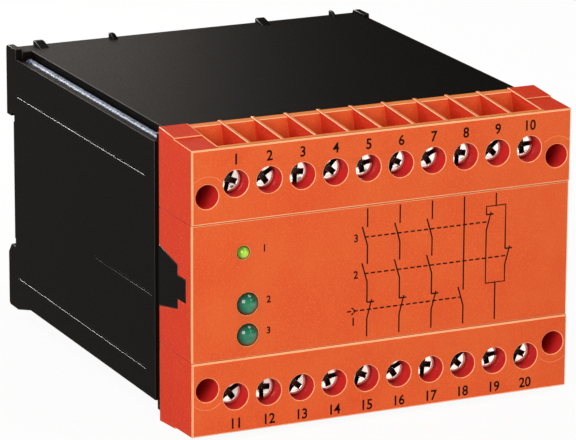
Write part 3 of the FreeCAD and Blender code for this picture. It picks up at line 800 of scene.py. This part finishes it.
# %% Foil over the board's edge
FOIL_STEPS = 180            # divisions along the foil
FOIL_CREASE = 0.16          # depth of the creases in mm
FOIL_LUMP = 1.6             # size of the lumps between them in mm
FOIL_SHEET = 0.12           # thickness in mm
FOIL_TURN_STEPS = 8         # divisions of the half turn


def select_where(piece, test):
    """Selects the vertices that pass a test of their place."""
    pick(piece)
    bpy.ops.object.mode_set(mode="EDIT")
    bpy.ops.mesh.select_mode(type="VERT")
    bpy.ops.mesh.select_all(action="DESELECT")
    bpy.ops.object.mode_set(mode="OBJECT")
    for vertex in piece.data.vertices:
        vertex.select = test(vertex.co)
    bpy.ops.object.mode_set(mode="EDIT")


def build_foil():
    """Foil strip: one leg, a half turn over the board's edge, the other leg."""
    low, high = node_box("board_foil")
    radius = (high.x - low.x) / 2
    axis_z = high.z - radius
    leg = axis_z - low.z
    deselect()
    bpy.ops.mesh.primitive_grid_add(x_subdivisions=FOIL_STEPS, y_subdivisions=3, size=1)
    strip = bpy.context.object
    strip.name = "creased_foil"
    strip.scale = (high.y - low.y, leg, 1)
    strip.rotation_euler = (math.radians(90), 0, math.radians(90))
    strip.location = (low.x, (low.y + high.y) / 2, low.z + leg / 2)
    bpy.ops.object.transform_apply()
    select_where(strip, lambda spot: spot.z > axis_z - 0.01 * MM)
    bpy.ops.mesh.spin(steps=FOIL_TURN_STEPS, angle=-math.pi, center=(low.x + radius, 0, axis_z), axis=(0, 1, 0))
    bpy.ops.mesh.extrude_region_move(TRANSFORM_OT_translate={"value": (0, 0, -leg)})
    bpy.ops.mesh.select_all(action="SELECT")
    bpy.ops.mesh.remove_doubles(threshold=0.01 * MM)
    bpy.ops.mesh.normals_make_consistent(inside=False)
    bpy.ops.object.mode_set(mode="OBJECT")
    clouds = bpy.data.textures.new("creases", "CLOUDS")
    clouds.noise_scale = FOIL_LUMP * MM
    print("foil crown at", round(max(v.co.z for v in strip.data.vertices) / MM, 2), "of", round(high.z / MM, 2))
    crumple = strip.modifiers.new("crumple", "DISPLACE")
    crumple.texture = clouds
    crumple.texture_coords = "LOCAL"
    crumple.strength = FOIL_CREASE * MM
    crumple.mid_level = 0.5
    sheet = strip.modifiers.new("sheet", "SOLIDIFY")
    sheet.thickness = FOIL_SHEET * MM
    sheet.offset = -1
    bpy.ops.object.modifier_apply(modifier="crumple")
    bpy.ops.object.modifier_apply(modifier="sheet")
    bpy.ops.object.shade_smooth_by_angle(angle=math.radians(60))
    strip.data.materials.append(creased_foil())
    stand_for(strip, "board_foil")
    print("foil:", len(strip.data.polygons), "faces, box", [round(v / MM, 1) for v in strip.dimensions])


build_foil()

# %% [markdown]
# ## Printing ink
#
# The front is pad-printed in black: a film of ink a few hundredths of a millimetre thick, with a dull
# surface and slightly soft edges. Lines are drawn as curves with a round section, turned into a mesh
# and pressed flat, because that gives even strokes with clean corners from very few points.

# %% Ink and strokes
INK_RISE = 0.03             # height of the ink over the surface in mm


def ink_finish():
    """Pad-printing ink: dull black, a little uneven where the film is thin."""
    made, tree, out = material("black pad-printing ink")
    film = fine_grain(tree, add(tree, "ShaderNodeTexCoord").outputs["Object"], 0.6)
    tone = blend(tree, span(tree, film.outputs["Fac"], 0.45, 0.75), linear("140804"), linear("240E06"))
    shader = add(tree, "ShaderNodeBsdfPrincipled", {"Base Color": tone},
                 Roughness=0.7, IOR=1.5, Specular_IOR_Level=0.08)
    tree.links.new(shader.outputs["BSDF"], out.inputs["Surface"])
    return made


ink = ink_finish()


def pressed_strokes(name, strokes, width, face_y, rise):
    """Strokes given by points in x and z, in millimetres, as flat beads on a face."""
    line = bpy.data.curves.new(name, "CURVE")
    line.dimensions = "3D"
    line.bevel_depth = width / 2 * MM
    line.bevel_resolution = 1
    line.use_fill_caps = True
    for stroke in strokes:
        spline = line.splines.new("POLY")
        spline.points.add(len(stroke) - 1)
        for point, (x, z) in zip(spline.points, stroke):
            point.co = (x * MM, 0, z * MM, 1)
    piece = bpy.data.objects.new(name, line)
    scene.collection.objects.link(piece)
    pick(piece)
    bpy.ops.object.convert(target="MESH")
    piece = bpy.context.object
    piece.scale = (1, rise / (width / 2), 1)
    piece.location = (0, face_y, 0)
    bpy.ops.object.transform_apply()
    bpy.ops.object.shade_smooth_by_angle(angle=SMOOTH_ANGLE)
    return piece


# %% [markdown]
# ## Contact diagram
#
# Between the terminals of a relay the front shows which contacts it holds: straight leads, slanting
# blades for contacts that close, blades with a small tick for contacts that open, and dashed lines for
# the armatures that move them together. The symbols are the common ones from any circuit drawing. Each
# column is drawn by one function, at the pitch of the terminals.

# %% Contact diagram
STROKE = 0.42               # width of a printed line in mm
BLADE = 1.4                 # how far an open blade stands out sideways
ROWS = (9.1, 0.05, -8.95)   # heights of the three armature lines
TOP_END, LOW_END = 16.1, -15.7          # ends of the leads
LOOP_TOP, LOOP_LOW = 12.95, -6.3        # the loop with two contacts in the last column
LOOP_HALF = 2.6
DASH, DASH_STEP = 1.15, 1.75
DOT = 1.15                  # width of the dots where lines join
terminal_x = [node_middle("upper_screw_%02d" % number).x / MM for number in range(1, 11)]
COLUMNS = terminal_x[4:9]


def closer(x, middle):
    """Contact that closes: an open blade from its lead upwards."""
    return [(x - BLADE, middle + 2.65), (x, middle - 2.1)]


def opener(x, middle):
    """Contact that opens: a tick on the lead above and a blade that rests on it."""
    tick = [(x, middle + 1.8), (x + 1.9, middle + 1.8)]
    blade = [(x + 1.25, middle + 2.4), (x, middle - 2.2)]
    return tick, blade


def diagram_strokes():
    """All lines of the contact diagram."""
    strokes = []
    for x in COLUMNS[:3]:
        strokes.append([(x, TOP_END), (x, ROWS[0] + 2.4)])
        strokes.append(closer(x, ROWS[0]) + [(x, ROWS[1] + 2.35)])
        strokes.append(closer(x, ROWS[1]) + [(x, ROWS[2] + 1.8)])
        tick, blade = opener(x, ROWS[2])
        strokes += [tick, blade + [(x, LOW_END)]]
    x = COLUMNS[3]
    strokes.append([(x, TOP_END), (x, ROWS[2] + 1.8)])
    strokes.append(closer(x, ROWS[2]) + [(x, LOW_END)])
    x = COLUMNS[4]
    left, right = x - LOOP_HALF, x + LOOP_HALF
    left_tick, left_blade = opener(left, ROWS[0])
    right_tick, right_blade = opener(right, ROWS[1])
    strokes.append([(x, TOP_END), (x, LOOP_TOP)])
    strokes.append([(right, right_tick[0][1]), (right, LOOP_TOP), (left, LOOP_TOP), (left, left_tick[0][1])])
    strokes += [left_tick, right_tick]
    strokes.append(left_blade + [(left, LOOP_LOW), (right, LOOP_LOW), *reversed(right_blade)])
    strokes.append([(x, LOOP_LOW), (x, LOW_END)])
    return strokes


def dashes(start, end, z):
    """Dashed line from left to right."""
    count = int((end - start) / DASH_STEP) + 1
    starts = [start + i * DASH_STEP for i in range(count)]
    return [[(x, z), (min(x + DASH, end), z)] for x in starts]


def build_diagram():
    """Contact diagram with its armature lines, arrow and dots."""
    strokes = diagram_strokes()
    strokes += dashes(COLUMNS[0] - 0.8, COLUMNS[4] - 2.1, ROWS[0])
    strokes += dashes(COLUMNS[0] - 0.8, COLUMNS[4] + 3.2, ROWS[1])
    strokes += dashes(COLUMNS[0] - 5.3, COLUMNS[3] - 0.7, ROWS[2])
    tip = COLUMNS[0] - 3.0
    strokes.append([(tip - 1.1, ROWS[2] + 0.9), (tip, ROWS[2]), (tip - 1.1, ROWS[2] - 0.9)])
    lines = pressed_strokes("diagram_lines", strokes, STROKE, PANEL_FACE, INK_RISE)
    x = COLUMNS[4]
    spots = [[(x - 0.02, z), (x + 0.02, z)] for z in (LOOP_TOP, LOOP_LOW)]
    dots = pressed_strokes("diagram_dots", spots, DOT, PANEL_FACE, INK_RISE * 1.5)
    for piece in (lines, dots):
        piece.data.materials.append(ink)
        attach(piece, body_of_node["front_panel"])
    print("diagram strokes:", len(strokes))


build_diagram()

# %% [markdown]
# ## Numbers
#
# Every terminal carries a plain number, 1 to 10 above and 11 to 20 below, and the three lamps and the
# three armature lines are numbered too. Text is the quickest way to clean figures. It is made a mesh
# before it is turned upright and moved, so that the finished piece has its place in its own points.

# %% Numbers
TEXT_DEPTH = 0.01           # depth of the text before it is scaled to the ink's height
TEXT_SWELL = 0.045          # how far the ink spreads past the outline, for 1 mm of height
TEXT_NARROW = 0.94          # width of the figures against the typeface
TERMINAL_FIGURE, LAMP_FIGURE, ROW_FIGURE = 2.5, 1.7, 1.9     # heights in mm
ABOVE_HOLE, BELOW_HOLE = 6.0, 6.6       # from the screw's axis to the middle of its number, in mm


def printed_numbers(name, body, figures, height, face_y):
    """Numbers of one height in millimetres, centred on places in x and z, joined to one piece."""
    pieces = []
    for figure, (x, z) in figures:
        deselect()
        bpy.ops.object.text_add()
        text = bpy.context.object
        text.data.body = figure
        text.data.size = 1.0
        text.data.align_x = "CENTER"
        text.data.extrude = TEXT_DEPTH
        text.data.offset = TEXT_SWELL / height
        text.data.resolution_u = 3
        bpy.ops.object.convert(target="MESH")
        text = bpy.context.object
        tall = max(vertex.co.y for vertex in text.data.vertices)
        scale = height * MM / tall
        text.scale = (scale * TEXT_NARROW, scale, INK_RISE * MM / TEXT_DEPTH)
        text.rotation_euler = (math.radians(90), 0, 0)
        text.location = (x * MM, face_y, (z - height / 2) * MM)
        bpy.ops.object.transform_apply()
        pieces.append(text)
    pick(*pieces)
    bpy.ops.object.join()
    piece = bpy.context.object
    piece.name = name
    piece.data.materials.clear()
    piece.data.materials.append(ink)
    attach(piece, body)


screw_z = node_middle("upper_screw_01").z / MM
upper_row = [(str(i + 1), (x, screw_z + ABOVE_HOLE)) for i, x in enumerate(terminal_x)]
lower_row = [(str(i + 11), (x, -screw_z - BELOW_HOLE)) for i, x in enumerate(terminal_x)]
printed_numbers("upper_numbers", "upper_block", upper_row, TERMINAL_FIGURE, BLOCK_FACE)
printed_numbers("lower_numbers", "lower_block", lower_row, TERMINAL_FIGURE, BLOCK_FACE)

lamp_figures = []
for figure, node in enumerate(LAMPS, 1):
    middle = node_middle(node) / MM
    lamp_figures.append((str(figure), (middle.x + 5.4, middle.z + 0.6)))
printed_numbers("lamp_numbers", body_of_node["front_panel"], lamp_figures, LAMP_FIGURE, PANEL_FACE)
row_figures = [("3", (COLUMNS[0] - 3.0, ROWS[0])), ("2", (COLUMNS[0] - 3.0, ROWS[1])),
               ("1", (COLUMNS[0] - 3.6, ROWS[2] - 2.6))]
printed_numbers("diagram_numbers", body_of_node["front_panel"], row_figures, ROW_FIGURE, PANEL_FACE)

# %% [markdown]
# ## Lever marks
#
# Beside each lever hole the moulding has a thin raised arc that shows where the tool goes in. It is
# part of the block, and is painted paler than the block's plastic, a painted highlight.

# %% Lever marks
ARC_RADIUS = 4.9            # in mm
ARC_FROM, ARC_TO = 42, 133  # in degrees
ARC_STEPS = 14
ARC_WIDTH, ARC_RISE = 0.18, 0.08        # in mm


def arc_points(x, z, turned):
    """Points on the arc beside one lever hole, in mm."""
    points = []
    for step in range(ARC_STEPS + 1):
        angle = math.radians(ARC_FROM + (ARC_TO - ARC_FROM) * step / ARC_STEPS)
        points.append((x + ARC_RADIUS * math.cos(angle), z + turned * ARC_RADIUS * math.sin(angle)))
    return points


for side, turned in (("upper", 1), ("lower", -1)):
    arcs = [arc_points(end * LEVER_X, turned * LEVER_Z, turned) for end in (-1, 1)]
    marks = pressed_strokes(side + "_lever_marks", arcs, ARC_WIDTH, BLOCK_FACE, ARC_RISE)
    marks.data.materials.append(orange_mark_highlight)
    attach(marks, side + "_block")
